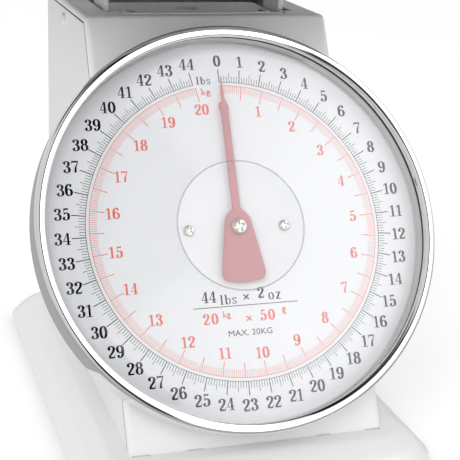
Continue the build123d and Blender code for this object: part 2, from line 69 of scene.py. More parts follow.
MM = 0.001
HUB = np.array(JOINTS["pointer_turn"]["pos_m"])
OUT = -np.array(JOINTS["pointer_turn"]["axis"])
RIGHT = np.array([1.0, 0.0, 0.0])
UP = np.cross(OUT, RIGHT)
DIAL = np.stack([RIGHT, UP, OUT])

FULL_TURN = 350.0
FULL_KG = 20
POUND = 0.45359237


# ---------------------------------------------------------------- shapes

def on_dial(points):
    """Dial millimetres to metres: hub + right * x + up * y + out * h."""
    return HUB + MM * (points @ DIAL)


def upright(points):
    """Frame millimetres to metres, unturned."""
    return MM * points


def soften(points, reach, steps=6, closed=False):
    """Rounds a polyline's corners: a corner P with A and B a reach before and after it becomes the quadratic
    curve (1-t)^2 A + 2t(1-t) P + t^2 B. The ends of an open line stay where they are."""
    p = np.asarray(points, float)
    back = np.roll(p, 1, 0) - p
    on = np.roll(p, -1, 0) - p
    back_len = np.maximum(np.linalg.norm(back, axis=1), 1e-9)
    on_len = np.maximum(np.linalg.norm(on, axis=1), 1e-9)
    if not closed:
        back_len[0] = on_len[0]
        on_len[-1] = back_len[-1]
    cut = np.minimum(np.broadcast_to(reach, len(p)), 0.48 * np.minimum(back_len, on_len))[:, None]
    a = p + back / back_len[:, None] * cut
    b = p + on / on_len[:, None] * cut
    t = np.linspace(0, 1, steps)[None, :, None]
    curve = (1 - t) ** 2 * a[:, None] + 2 * t * (1 - t) * p[:, None] + t**2 * b[:, None]
    if closed:
        return curve.reshape(-1, p.shape[1])
    return np.vstack([p[:1], curve[1:-1].reshape(-1, p.shape[1]), p[-1:]])


def grid_faces(rows, cols, rows_close, cols_close):
    """Four-sided faces of a grid: each joins point (i, j) to its neighbours, wrapping where asked."""
    i = np.arange(rows if rows_close else rows - 1)[:, None]
    j = np.arange(cols if cols_close else cols - 1)[None]
    i2, j2 = (i + 1) % rows, (j + 1) % cols
    return np.stack([i * cols + j, i * cols + j2, i2 * cols + j2, i2 * cols + j], -1).reshape(-1, 4)


def turned(profile, turns):
    """A profile of (radius, height) carried round the axis: x = r sin a, y = r cos a, h = height."""
    a = np.linspace(0, 2 * np.pi, turns, endpoint=False)[None]
    r, h = profile[:, :1], profile[:, 1:2]
    return np.stack([r * np.sin(a), r * np.cos(a), h + 0 * a], -1)


def rounded_rectangles(levels, per_corner):
    """Rounded rectangles stacked from rows of (height, half width, front, back, corner radius): each corner
    is the quarter circle centre + radius * (cos a, sin a) about a centre one radius inside both its sides."""
    z, half, front, back, r = [levels[:, k][:, None] for k in range(5)]
    a = np.linspace(0, np.pi / 2, per_corner)
    a = np.concatenate([a + k * np.pi / 2 for k in range(4)])[None]
    at_end = np.repeat([1e-12, -1e-12, -1e-12, 1e-12], per_corner)
    side = np.sign(np.cos(a + 1e-9) * (np.abs(np.cos(a)) > 1e-9) + at_end)
    end = np.repeat([1, 1, -1, -1], per_corner)[None]
    x = side * (half - r) + r * np.cos(a)
    y = np.where(end > 0, back - r, front + r) + r * np.sin(a)
    return np.stack([x, y, z + 0 * a], -1)


def screw_grid(head_r, head_h, shank_r, length, turn):
    """Pan head with a cross recess, as heights on rings of a disc: head_h * (1 - (r/R)^5)^(1/2.6), less the
    recess where either arm's across distance is under its half width and its along distance under its
    length."""
    rings = np.linspace(0, 1, 30)[:, None] ** 0.8
    a = np.linspace(0, 2 * np.pi, 96, endpoint=False)[None]
    x, y = rings * np.cos(a - turn), rings * np.sin(a - turn)
    dome = head_h * (1 - rings**5) ** (1 / 2.6) + 0 * a

    def arm(across, along):
        narrow = np.clip((0.2 - np.abs(across)) / 0.07, 0, 1)
        short = np.clip((0.66 - np.abs(along)) / 0.14, 0, 1)
        return np.minimum(narrow, short)

    dome = dome - 0.75 * head_h * np.maximum(arm(x, y), arm(y, x))
    head = np.stack([head_r * rings * np.cos(a), head_r * rings * np.sin(a), dome], -1)
    under = turned(np.array([(shank_r, 0.0), (shank_r, -length), (0.0, -length)]), 96)
    under = under[:, (24 - np.arange(96)) % 96]
    return np.concatenate([head, under])


def placed(points, origin, axis, across):
    """Local millimetres to metres along right-handed axes: origin + x across + y (axis x across) + z axis."""
    axis, across = np.asarray(axis, float), np.asarray(across, float)
    return np.asarray(origin) * MM + MM * (points @ np.stack([across, np.cross(axis, across), axis]))


# ---------------------------------------------------------------- printed figures

THICK, THIN = 0.2, 0.075
INK_UNDER, INK_OVER = -0.02, 0.05
FIGURES = {
    "0": (0.6, [("ring", 0.29, 0.5, 0.205, 0.475)]),
    "1": (0.52, [("quad", 0.18, 0, 0.345, 0, 0.345, 1, 0.18, 1),
                 ("quad", 0.02, 0, 0.5, 0, 0.5, 0.05, 0.02, 0.05),
                 ("quad", 0.02, 0.78, 0.2, 0.9, 0.2, 1.0, 0.02, 0.84)]),
    "2": (0.58, [("line", 0.1, 0.7, 0.12, 0.87, 0.28, 0.975, 0.44, 0.88, 0.46, 0.7, 0.37, 0.5, 0.2, 0.28,
                  0.09, 0.1), ("dot", 0.135, 0.73, 0.085),
                 ("quad", 0.05, 0, 0.48, 0, 0.5, 0.12, 0.07, 0.15),
                 ("quad", 0.46, 0.02, 0.5, 0.02, 0.54, 0.27, 0.505, 0.27)]),
    "3": (0.58, [("line", 0.11, 0.77, 0.15, 0.91, 0.28, 0.975, 0.42, 0.88, 0.44, 0.74, 0.37, 0.59, 0.22,
                  0.53),
                 ("line", 0.22, 0.53, 0.39, 0.48, 0.47, 0.3, 0.43, 0.11, 0.27, 0.025, 0.12, 0.09, 0.08,
                  0.22), ("dot", 0.14, 0.78, 0.08), ("dot", 0.125, 0.23, 0.085)]),
    "4": (0.6, [("quad", 0.31, 0, 0.47, 0, 0.47, 1, 0.31, 1),
                ("quad", 0.33, 1, 0.02, 0.3, 0.08, 0.3, 0.39, 1),
                ("quad", 0.02, 0.25, 0.57, 0.25, 0.57, 0.305, 0.02, 0.305),
                ("quad", 0.2, 0, 0.57, 0, 0.57, 0.05, 0.2, 0.05)]),
    "5": (0.58, [("quad", 0.11, 0.86, 0.44, 0.86, 0.49, 1, 0.11, 1),
                 ("quad", 0.11, 0.5, 0.155, 0.5, 0.155, 1, 0.11, 1),
                 ("line", 0.13, 0.52, 0.28, 0.62, 0.43, 0.54, 0.47, 0.33, 0.42, 0.11, 0.27, 0.025, 0.12,
                  0.08, 0.08, 0.2), ("dot", 0.125, 0.22, 0.085)]),
    "6": (0.6, [("ring", 0.29, 0.305, 0.2, 0.28), ("dot", 0.43, 0.82, 0.08),
                ("line", 0.45, 0.84, 0.39, 0.95, 0.29, 0.975, 0.15, 0.84, 0.09, 0.6, 0.09, 0.32)]),
    "7": (0.58, [("quad", 0.05, 0.86, 0.53, 0.86, 0.53, 1, 0.05, 1),
                 ("quad", 0.03, 0.74, 0.07, 0.74, 0.09, 1, 0.03, 1),
                 ("quad", 0.48, 0.87, 0.25, 0.42, 0.39, 0.42, 0.53, 0.87),
                 ("quad", 0.25, 0.43, 0.19, 0, 0.365, 0, 0.39, 0.43)]),
    "8": (0.6, [("ring", 0.29, 0.755, 0.165, 0.22), ("ring", 0.29, 0.28, 0.2, 0.255)]),
    "9": (0.6, [("ring", 0.29, 0.695, 0.2, 0.28), ("dot", 0.15, 0.18, 0.08),
                ("line", 0.13, 0.16, 0.19, 0.05, 0.29, 0.025, 0.43, 0.16, 0.49, 0.4, 0.49, 0.68)]),
    "l": (0.36, [("quad", 0.1, 0, 0.23, 0, 0.23, 1, 0.1, 1),
                 ("quad", 0.02, 0, 0.31, 0, 0.31, 0.05, 0.02, 0.05),
                 ("quad", 0.02, 0.95, 0.12, 0.95, 0.12, 1, 0.02, 1)]),
    "b": (0.55, [("quad", 0.07, 0, 0.2, 0, 0.2, 1, 0.07, 1), ("quad", 0, 0.95, 0.1, 0.95, 0.1, 1, 0, 1),
                 ("ring", 0.29, 0.31, 0.17, 0.29)]),
    "s": (0.46, [("line", 0.36, 0.5, 0.3, 0.63, 0.2, 0.65, 0.09, 0.55, 0.12, 0.42, 0.3, 0.28, 0.35, 0.14,
                  0.24, 0.03, 0.12, 0.06, 0.06, 0.18)]),
    "k": (0.58, [("quad", 0.07, 0, 0.2, 0, 0.2, 1, 0.07, 1), ("quad", 0, 0.95, 0.1, 0.95, 0.1, 1, 0, 1),
                 ("quad", 0, 0, 0.27, 0, 0.27, 0.05, 0, 0.05),
                 ("quad", 0.19, 0.27, 0.19, 0.35, 0.42, 0.64, 0.49, 0.64),
                 ("quad", 0.23, 0.38, 0.36, 0.5, 0.55, 0, 0.4, 0)]),
    "g": (0.52, [("ring", 0.22, 0.42, 0.125, 0.2), ("ring", 0.24, -0.1, 0.15, 0.13),
                 ("line", 0.14, 0.24, 0.08, 0.15, 0.16, 0.07, 0.3, 0.05),
                 ("quad", 0.3, 0.56, 0.34, 0.52, 0.46, 0.62, 0.44, 0.68)]),
    "o": (0.52, [("ring", 0.25, 0.31, 0.17, 0.29)]),
    "z": (0.48, [("quad", 0.05, 0.56, 0.42, 0.56, 0.42, 0.63, 0.05, 0.63),
                 ("quad", 0.04, 0, 0.43, 0, 0.43, 0.07, 0.04, 0.07),
                 ("quad", 0.28, 0.6, 0.04, 0.04, 0.19, 0.04, 0.43, 0.6)]),
    "x": (0.7, [("quad", 0.12, 0.12, 0.19, 0.05, 0.61, 0.47, 0.54, 0.54),
                ("quad", 0.54, 0.05, 0.61, 0.12, 0.19, 0.54, 0.12, 0.47)]),
    " ": (0.34, []),
}


def slab(left, right, closed):
    """A thin printed line as a closed skin: between its left and right edges (n, 2), from just under the face
    to just over it."""
    low, high = np.full((len(left), 1), INK_UNDER), np.full((len(left), 1), INK_OVER)
    around = [(left, low), (right, low), (right, high), (left, high)]
    ring = np.stack([np.hstack(edge) for edge in around], 1)
    faces = grid_faces(len(left), 4, closed, True)
    if not closed:
        n = 4 * (len(left) - 1)
        faces = np.vstack([faces, [[3, 2, 1, 0]], [[n, n + 1, n + 2, n + 3]]])
    return ring.reshape(-1, 3), faces


def pen(path, closed, thick, thin):
    """Pen line along a path: half as wide as thin + (thick - thin) * (upright share of the direction)^2, so
    that upright runs are thick and level runs are hairlines."""
    if closed:
        run = np.roll(path, -1, 0) - np.roll(path, 1, 0)
    else:
        run = np.gradient(path, axis=0)
    run = run / np.linalg.norm(run, axis=1)[:, None]
    wide = (thin + (thick - thin) * run[:, 1:] ** 2) / 2
    aside = np.stack([-run[:, 1], run[:, 0]], 1)
    return slab(path + aside * wide, path - aside * wide, closed)


def through(points, steps):
    """Smooth line through points: on each span the cubic whose slopes at its ends are half the chord between
    the neighbouring points."""
    p = np.vstack([2 * points[0] - points[1], points, 2 * points[-1] - points[-2]])
    t = np.linspace(0, 1, steps, endpoint=False)[None, :, None]
    a, b, c, d = [p[k : len(p) - 3 + k, None] for k in range(4)]
    curve = 0.5 * (2 * b + (c - a) * t + (2 * a - 5 * b + 4 * c - d) * t**2 + (3 * b - a - 3 * c + d) * t**3)
    return np.vstack([curve.reshape(-1, 2), points[-1:]])


def stroke(kind, numbers, thick, thin):
    v = np.array(numbers, float)
    if kind == "ring":
        a = np.linspace(0, 2 * np.pi, 28, endpoint=False)
        return pen(np.stack([v[0] + v[2] * np.cos(a), v[1] + v[3] * np.sin(a)], 1), True, thick, thin)
    if kind == "dot":
        a = np.linspace(0.0, np.pi, 8)
        top = np.stack([v[0] - v[2] * np.cos(a), v[1] + v[2] * np.sin(a)], 1)
        low = np.stack([v[0] - v[2] * np.cos(a), v[1] - v[2] * np.sin(a)], 1)
        return slab(top, low, False)
    if kind == "line":
        return pen(through(v.reshape(-1, 2), 5), False, thick, thin)
    corners = v.reshape(4, 2)
    return slab(corners[[0, 3]], corners[[1, 2]], False)


def joined(pieces):
    """Several (points, faces) pairs as one."""
    if not pieces:
        return np.zeros((0, 3)), np.zeros((0, 4), int)
    counts = np.cumsum([0] + [len(p) for p, _ in pieces[:-1]])
    return np.vstack([p for p, _ in pieces]), np.vstack([f + n for (_, f), n in zip(pieces, counts)])


def word(text, height, x, y, thick=THICK, thin=THIN, spacing=0.05, wide=1.1):
    """A line of figures, its middle at (x, y), at the digits' height, stretched sideways by wide."""
    shapes, at = [], 0.0
    for letter in text:
        advance, strokes = FIGURES[letter]
        if strokes:
            points, faces = joined([stroke(s[0], s[1:], thick, thin) for s in strokes])
            shapes.append((points * [1, 1, 0] + [at, 0, 0], points[:, 2:], faces))
        at += advance + spacing
    shift = np.array([(at - spacing) / 2 - 0.01, 0.5, 0])
    size = [height * wide, height]
    pieces = [(np.hstack([(flat - shift)[:, :2] * size + [x, y], h]), faces) for flat, h, faces in shapes]
    return joined(pieces)


def clock(degrees, radius):
    a = np.radians(degrees)
    return radius * np.sin(a), radius * np.cos(a)


def marks(degrees, inner, outer, width):
    """Short printed bars along the radius at angles clockwise from the top: corners are
    radius * (sin a, cos a) plus or minus half the width at right angles to it."""
    a = np.radians(degrees)[:, None]
    along = np.hstack([np.sin(a), np.cos(a)])
    across = np.hstack([np.cos(a), -np.sin(a)]) * (np.broadcast_to(width, len(a))[:, None] / 2)
    inner = np.broadcast_to(inner, len(a))[:, None]
    outer = np.broadcast_to(outer, len(a))[:, None]
    near, far = along * inner, along * outer
    corners = np.stack([near - across, near + across, far + across, far - across], 1)
    low = np.concatenate([corners, np.full((len(a), 4, 1), INK_UNDER)], 2)
    high = np.concatenate([corners, np.full((len(a), 4, 1), INK_OVER)], 2)
    points = np.concatenate([low, high], 1).reshape(-1, 3)
    one = np.array([[0, 1, 2, 3], [7, 6, 5, 4], [0, 4, 5, 1], [1, 5, 6, 2], [2, 6, 7, 3], [3, 7, 4, 0]])
    return points, (one[None] + 8 * np.arange(len(a))[:, None, None]).reshape(-1, 4)


def arc_line(radius, width, start, end, turns=360):
    """A printed circle or arc: pen path radius * (sin a, cos a) of even width."""
    whole = end - start >= 360
    a = np.radians(np.linspace(start, end, turns, endpoint=not whole))
    path = radius * np.stack([np.sin(a), np.cos(a)], 1)
    return pen(path, whole, width, width)


# ---------------------------------------------------------------- finishes

def finish(name, colour, shade=0.04, rough=(0.3, 0.4), metal=0.0, grain=(1, 1, 1), scale=250.0, bump=0.1,
           depth=0.0001, detail=3.0, coat=0.0, cells=0.0, shine=0.5):
    """A worked surface: a noise in object space, stretched along the grain, drives a slight shade of the
    colour, the roughness between its two ends, and a shallow bump. cells shades it in flat crystal patches
    instead, and shine is how strongly an unmetallic surface mirrors."""
    found = bpy.data.materials.get(name)
    if found:
        return found
    made = bpy.data.materials.new(name)
    made.use_nodes = True
    tree = made.node_tree
    shader = tree.nodes["Principled BSDF"]
    shader.inputs["Metallic"].default_value = metal
    shader.inputs["Coat Weight"].default_value = coat
    place = tree.nodes.new("ShaderNodeTexCoord")
    stretch = tree.nodes.new("ShaderNodeMapping")
    stretch.inputs["Scale"].default_value = grain
    noise = tree.nodes.new("ShaderNodeTexNoise")
    noise.inputs["Scale"].default_value = scale
    noise.inputs["Detail"].default_value = detail
    tree.links.new(place.outputs["Object"], stretch.inputs["Vector"])
    tree.links.new(stretch.outputs["Vector"], noise.inputs["Vector"])
    shading = noise.outputs["Fac"]
    if cells:
        patch = tree.nodes.new("ShaderNodeTexVoronoi")
        patch.inputs["Scale"].default_value = cells
        tree.links.new(place.outputs["Object"], patch.inputs["Vector"])
        grey = tree.nodes.new("ShaderNodeSeparateColor")
        tree.links.new(patch.outputs["Color"], grey.inputs["Color"])
        shading = grey.outputs["Red"]
    mix = tree.nodes.new("ShaderNodeMix")
    mix.data_type = "RGBA"
    mix.inputs["A"].default_value = (*[c * (1 - shade) for c in colour], 1)
    mix.inputs["B"].default_value = (*[min(1.0, c * (1 + shade)) for c in colour], 1)
    tree.links.new(shading, mix.inputs["Factor"])
    tree.links.new(mix.outputs["Result"], shader.inputs["Base Color"])
    spread = tree.nodes.new("ShaderNodeMapRange")
    spread.inputs["From Min"].default_value = 0.3
    spread.inputs["From Max"].default_value = 0.7
    spread.inputs["To Min"].default_value = rough[0]
    spread.inputs["To Max"].default_value = rough[1]
    tree.links.new(noise.outputs["Fac"], spread.inputs["Value"])
    tree.links.new(spread.outputs["Result"], shader.inputs["Roughness"])
    relief = tree.nodes.new("ShaderNodeBump")
    relief.inputs["Strength"].default_value = bump
    relief.inputs["Distance"].default_value = depth
    tree.links.new(noise.outputs["Fac"], relief.inputs["Height"])
    tree.links.new(relief.outputs["Normal"], shader.inputs["Normal"])
    shader.inputs["Specular IOR Level"].default_value = shine
    return made


def powder_coat():
    return finish("powder_coat_white", tuning().body_white, 0.012, (0.3, 0.42), scale=900, bump=0.12,
                  depth=0.00006, coat=0.15)


def zinc_plate():
    return finish("bright_zinc", (0.68, 0.69, 0.7), 0.06, (0.22, 0.36), 1.0, scale=420, bump=0.1,
                  depth=0.00005)


def galvanised_sheet():
    return finish("galvanised_sheet", (0.6, 0.62, 0.64), 0.14, (0.34, 0.5), 0.9, scale=300, bump=0.08,
                  depth=0.00005, cells=160)


def satin_sheet():
    return finish("satin_zinc_sheet", (0.9, 0.9, 0.9), 0.03, (0.36, 0.5), 0.35, scale=260, bump=0.08,
                  depth=0.00005, cells=120)


def brushed_stainless():
    return finish("brushed_stainless", (0.72, 0.72, 0.73), 0.07, (0.22, 0.38), 1.0, (1, 60, 60),
                  scale=55, bump=0.12, depth=0.00004, detail=4)


def turned_brass():
    return finish("machined_brass", (0.72, 0.53, 0.24), 0.08, (0.2, 0.34), 1.0, (1, 1, 6), 500, 0.1, 0.00004)


def matt_rubber():
    return finish("matt_rubber", (0.03, 0.03, 0.032), 0.25, (0.6, 0.8), scale=700, bump=0.3, depth=0.00012)


def nickel():
    return finish("nickel_screw", (0.74, 0.72, 0.68), 0.05, (0.16, 0.28), 1.0, scale=900, bump=0.08,
                  depth=0.00003)


def polished_chrome():
    return finish("polished_chrome", (0.86, 0.87, 0.88), 0.015, (0.035, 0.07), 1.0, scale=60, bump=0.02,
                  depth=0.00003)


def dial_enamel():
    return finish("dial_enamel", tuning().dial_white, 0.008, (0.3, 0.4), scale=120, bump=0.05, depth=0.00003)


def black_ink():
    return finish("black_ink", tuning().ink_black, 0.35, (0.35, 0.5), scale=1500, bump=0.1,
                  depth=0.00002, shine=0.05)


def red_ink():
    return finish("red_ink", tuning().ink_red, 0.06, (0.35, 0.5), scale=1500, bump=0.1,
                  depth=0.00002, shine=0.05)


def pointer_paint():
    return finish("pointer_paint", tuning().pointer_red, 0.05, (0.3, 0.42), scale=1100, bump=0.12,
                  depth=0.00004, coat=0.1)


def clear_lens(name="clear_lens", frosted=0.0):
    """Clear moulding: light goes straight through but for a mirror share, 0.042 + 0.9 * (1 - cos)^5 of the
    angle it is seen at, and a grey scattering share where it is frosted."""
    found = bpy.data.materials.get(name)
    if found:
        return found
    made = bpy.data.materials.new(name)
    made.use_nodes = True
    tree = made.node_tree
    tree.nodes.remove(tree.nodes["Principled BSDF"])
    clear = tree.nodes.new("ShaderNodeBsdfTransparent")
    clear.inputs["Color"].default_value = (1, 1, 1, 1)
    mirror = tree.nodes.new("ShaderNodeBsdfGlossy")
    mirror.inputs["Roughness"].default_value = 0.03
    slant = tree.nodes.new("ShaderNodeLayerWeight")
    slant.inputs["Blend"].default_value = 0.5
    steep = tree.nodes.new("ShaderNodeMath")
    steep.operation = "POWER"
    steep.inputs[1].default_value = 5.0
    share = tree.nodes.new("ShaderNodeMath")
    share.operation = "MULTIPLY_ADD"
    share.inputs[1].default_value = 0.9
    share.inputs[2].default_value = 0.042
    mix = tree.nodes.new("ShaderNodeMixShader")
    tree.links.new(slant.outputs["Facing"], steep.inputs[0])
    tree.links.new(steep.outputs["Value"], share.inputs[0])
    tree.links.new(share.outputs["Value"], mix.inputs["Fac"])
    tree.links.new(clear.outputs["BSDF"], mix.inputs[1])
    tree.links.new(mirror.outputs["BSDF"], mix.inputs[2])
    last = mix
    if frosted:
        grey = tree.nodes.new("ShaderNodeBsdfDiffuse")
        grey.inputs["Color"].default_value = (0.3, 0.31, 0.33, 1)
        last = tree.nodes.new("ShaderNodeMixShader")
        last.inputs["Fac"].default_value = frosted
        tree.links.new(mix.outputs["Shader"], last.inputs[1])
        tree.links.new(grey.outputs["BSDF"], last.inputs[2])
    tree.links.new(last.outputs["Shader"], tree.nodes["Material Output"].inputs["Surface"])
    return made


# ---------------------------------------------------------------- pieces

def tuning():
    return bpy.context.scene.dial_scale_colours


def sizes():
    return bpy.context.scene.dial_scale_sizes


def piece(name, points, faces, body, slot, finishes, stands_for=(), sharp=32.0, weld=True):
    """Puts points and faces into a mesh object on a body, with doubles merged and faces outwards."""
    mesh = bpy.data.meshes.new(name)
    mesh.from_pydata(points.reshape(-1, 3).tolist(), [], faces.tolist())
    if weld:
        work = bmesh.new()
        work.from_mesh(mesh)
        bmesh.ops.remove_doubles(work, verts=work.verts, dist=2e-7)
        bmesh.ops.dissolve_degenerate(work, edges=work.edges, dist=1e-7)
        bmesh.ops.recalc_face_normals(work, faces=work.faces)
        work.to_mesh(mesh)
        work.free()
    mesh.shade_smooth()
    mesh.set_sharp_from_angle(angle=math.radians(sharp))
    for one in finishes:
        mesh.materials.append(one)
    made = bpy.data.objects.new(name, mesh)
    bpy.context.scene.collection.objects.link(made)
    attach(made, body)
    if stands_for:
        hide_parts(*stands_for)
    return made


def round_piece(name, profile, place, body, slot, finishes, stands_for=(), ring=False, turns=192, sharp=32.0):
    points = place(turned(profile, turns))
    faces = grid_faces(len(profile), turns, ring, True)
    return piece(name, points, faces, body, slot, finishes, stands_for, sharp)


def dress(names, material):
    """Gives carried-over nodes a worked finish."""
    for name in names:
        mesh = NODES[name].data
        if not mesh.materials:
            mesh.materials.append(material)
        for k in range(len(mesh.materials)):
            mesh.materials[k] = material


class ScaleSizes(bpy.types.PropertyGroup):
    """Sizes a user may change."""

    bezel_radius: FloatProperty(name="Bezel radius", description="Outside radius of the polished ring",
                                default=(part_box("bezel")[1][0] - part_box("bezel")[0][0]) / 2, unit="LENGTH")
    lip_radius: FloatProperty(name="Lip radius", description="Inside radius of the ring's lip", default=0.109,
                              unit="LENGTH")
    number_height: FloatProperty(name="Figure height", description="Height of the pound figures",
                                 default=0.0066, unit="LENGTH")
    kilo_height: FloatProperty(name="Kilogram figure height", description="Height of the kilogram figures",
                               default=0.0062, unit="LENGTH")
    fine_line: FloatProperty(name="Fine line", description="Width of the small divisions", default=0.00026,
                             unit="LENGTH")
    bold_line: FloatProperty(name="Bold line", description="Width of the numbered divisions", default=0.00048,
                             unit="LENGTH")
    fold_reach: FloatProperty(name="Fold reach", description="How far the plinth's folds round over",
                              default=0.0030, unit="LENGTH")


class ScaleColours(bpy.types.PropertyGroup):
    """Colours a user may change."""

    body_white: FloatVectorProperty(name="Body", description="Powder coat on housing and plinth",
                                    subtype="COLOR", size=3, default=(0.85, 0.85, 0.847), min=0, max=1)
    dial_white: FloatVectorProperty(name="Dial", description="Printed face ground", subtype="COLOR", size=3,
                                    default=(0.8, 0.81, 0.835), min=0, max=1)
    ink_black: FloatVectorProperty(name="Black print", description="Pound scale and figures",
                                   subtype="COLOR", size=3, default=(0.006, 0.006, 0.008), min=0, max=1)
    ink_red: FloatVectorProperty(name="Red print", description="Kilogram scale and figures",
                                 subtype="COLOR", size=3, default=(0.8, 0.17, 0.13), min=0, max=1)
    pointer_red: FloatVectorProperty(name="Pointer", description="Pointer paint", subtype="COLOR", size=3,
                                     default=(0.5, 0.2, 0.215), min=0, max=1)
    floor_white: FloatVectorProperty(name="Floor", description="Studio floor", subtype="COLOR", size=3,
                                     default=(0.93, 0.93, 0.93), min=0, max=1)


class BuildPlinth(bpy.types.Operator):
    """Plinth: a pressed pan with a raised deck, a sloping shoulder and a spreading skirt, and tab slots"""

    bl_idname = "dialscale.plinth"
    bl_label = "Plinth"

    def execute(self, context):
        low, high = np.array(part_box("base_shell")) / MM
        mid = (low[1] + high[1]) / 2
        wall = 1.2
        outer = [(19.0, 0, mid, mid, 0), (19.0, 60, mid - 100, mid + 100, 8),
                 (19.0, 83.0, -143.5, 120.0, 16.0), (13.4, 92.7, -156.0, 129.0, 24.0),
                 (low[2], high[0], low[1], high[1], 30.0)]
        inner = [(low[2], high[0] - wall, low[1] + wall, high[1] - wall, 28.8),
                 (13.4 - wall, 91.5, -154.8, 127.8, 22.8), (17.8, 81.8, -142.3, 118.8, 14.8),
                 (17.8, 60, mid - 100, mid + 100, 8), (17.8, 0, mid, mid, 0)]
        reach = sizes().fold_reach / MM
        levels = soften(outer + inner, [0, 1, reach * 1.5, reach * 1.3, 0.3, 0.3, reach, reach, 1, 0], 7)
        points = upright(rounded_rectangles(levels, 20))
        faces = grid_faces(len(levels), 80, False, True)
        shell = piece("plinth_shell", points, faces, "stand", "white_steel", [powder_coat()], ["base_shell"],
                      sharp=40)
        cut_slots(shell)
        return {"FINISHED"}


def cut_slots(shell):
    """Cuts the housing's tab slots through the deck's front."""
    sides = np.array([[0, 1, 3, 2], [4, 6, 7, 5], [0, 4, 5, 1], [2, 3, 7, 6], [0, 2, 6, 4], [1, 5, 7, 3]])
    signs = np.array([[i, j, k] for i in (-1, 1) for j in (-1, 1) for k in (-1, 1)])
    size = np.array([9.4, 2.6, 6.0]) * MM / 2
    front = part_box("housing_wrap")[0][1]
    boxes = []
    for x in (-66.5, -37.0, 37.0, 66.5):
        middle = np.array([x * MM, front + 0.65 * MM, 18.5 * MM])
        boxes.append((signs * size + middle, sides))
    points, faces = joined(boxes)
    mesh = bpy.data.meshes.new("slot_cutter")
    mesh.from_pydata(points.tolist(), [], faces.tolist())
    cutter = bpy.data.objects.new("slot_cutter", mesh)
    bpy.context.scene.collection.objects.link(cutter)
    cut = shell.modifiers.new("slots", "BOOLEAN")
    cut.object = cutter
    cut.solver = "EXACT"
    bpy.context.view_layer.update()
    view = bpy.context.evaluated_depsgraph_get()
    done = bpy.data.meshes.new_from_object(shell.evaluated_get(view))
    shell.modifiers.clear()
    old = shell.data
    shell.data = done
    bpy.data.meshes.remove(old)
    bpy.data.objects.remove(cutter)
    if len(done.polygons) < 100:
        raise RuntimeError("the plinth lost its faces when the slots were cut")


class BuildFeet(bpy.types.Operator):
    """Rubber feet: turned buttons with a soft lower edge and a shallow groove"""

    bl_idname = "dialscale.feet"
    bl_label = "Feet"

    def execute(self, context):
        profile = soften([(0, 0.35), (5.5, 0.35), (6.2, 0), (7.4, 0), (9, 1.4), (9, 3.0), (8.5, 3.4),
                          (9, 3.8), (9, 5.8), (0, 5.8)], 0.5, 5)
        shapes = []
        turns = 64
        for x in (-80.0, 80.0):
            for y in (-136.0, 110.0):
                points = upright(turned(profile, turns) + [x, y, 0])
                shapes.append((points.reshape(-1, 3), grid_faces(len(profile), turns, False, True)))
        points, faces = joined(shapes)
        piece("rubber_buttons", points, faces, "stand", "rubber", [matt_rubber()], ["rubber_feet"], 50)
        return {"FINISHED"}


class BuildHousing(bpy.types.Operator):
    """Housing: folded wrap, side panels with painted shadow strips in their joints, and the plinth's closing
    plate
    """

    bl_idname = "dialscale.housing"
    bl_label = "Housing"

    def execute(self, context):
        dress(["housing_wrap", "side_panel_left", "side_panel_right", "dial_pan"], powder_coat())
        dress(["base_plate"], galvanised_sheet())
        dress(["base_posts", "base_plate_screws"], zinc_plate())
        # dark strips painted as the shade that falls in the side panels' joints
        panel_seams()
        return {"FINISHED"}


def panel_seams():
    """Painted shadow: a dark strip in the joint round each side panel, where the gap's shade falls, parallel
    to the housing's front and top edges.
    """
    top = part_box("housing_wrap")[1][2] / MM - 4.17
    foot, back = 20.5, 109.0
    behind_dial, half_width, off_middle = 8.78, 0.35, 72.97
    front = HUB[1:] / MM - OUT[1:] * behind_dial
    low, high = [front + UP[1:] * (level - front[1]) / UP[2] for level in (foot, top)]
    line = np.array([low, high, [back, top]])
    aside = np.array([OUT[1:], OUT[1:] + [0, 1], [0, 1]]) * half_width
    points, faces = slab(line + aside, line - aside, False)
    y, z, over = points.T
    sides = [(upright(np.stack([side * (off_middle + over), y, z], 1)), faces) for side in (-1, 1)]
    # the matt dark finish here is painted shade in the joint, not a rubber part
    piece("panel_seams", *joined(sides), "stand", "rubber", [matt_rubber()])


class BuildDialFace(bpy.types.Operator):
    """Dial face: white enamelled disc"""

    bl_idname = "dialscale.dial_face"
    bl_label = "Dial face"

    def execute(self, context):
        dress(["dial_face"], dial_enamel())
        dress(["lens_gasket"], matt_rubber())
        return {"FINISHED"}


class BuildDialScale(bpy.types.Operator):
    """Dial divisions: two ounces and pounds in black, fifty grams and kilograms in red, with their circles"""

    bl_idname = "dialscale.divisions"
    bl_label = "Divisions"

    def execute(self, context):
        fine, bold = sizes().fine_line / MM, sizes().bold_line / MM
        step = FULL_TURN / FULL_KG * POUND / 8
        k = np.arange(44 * 8 + 1)
        outer = np.where(k % 8 == 0, 93.2, np.where(k % 4 == 0, 91.1, 89.1))
        black = [marks(k * step, 85.4, outer, np.where(k % 8 == 0, bold, fine)),
                 arc_line(85.5, fine, 0, k[-1] * step)]
        points, faces = joined(black)
        piece("pound_divisions", on_dial(points), faces, "stand", "dial_print", [black_ink()], weld=False)
        k = np.arange(FULL_KG * 20 + 1)
        inner = np.where(k % 10 == 0, 75.2, 79.1)
        red = [marks(k * FULL_TURN / FULL_KG / 20, inner, 83.5, 0.9 * np.where(k % 10 == 0, bold, fine)),
               arc_line(83.4, fine * 1.1, 0, FULL_TURN)]
        points, faces = joined(red)
        piece("kilogram_divisions", on_dial(points), faces, "stand", "dial_print", [red_ink()], weld=False)
        return {"FINISHED"}


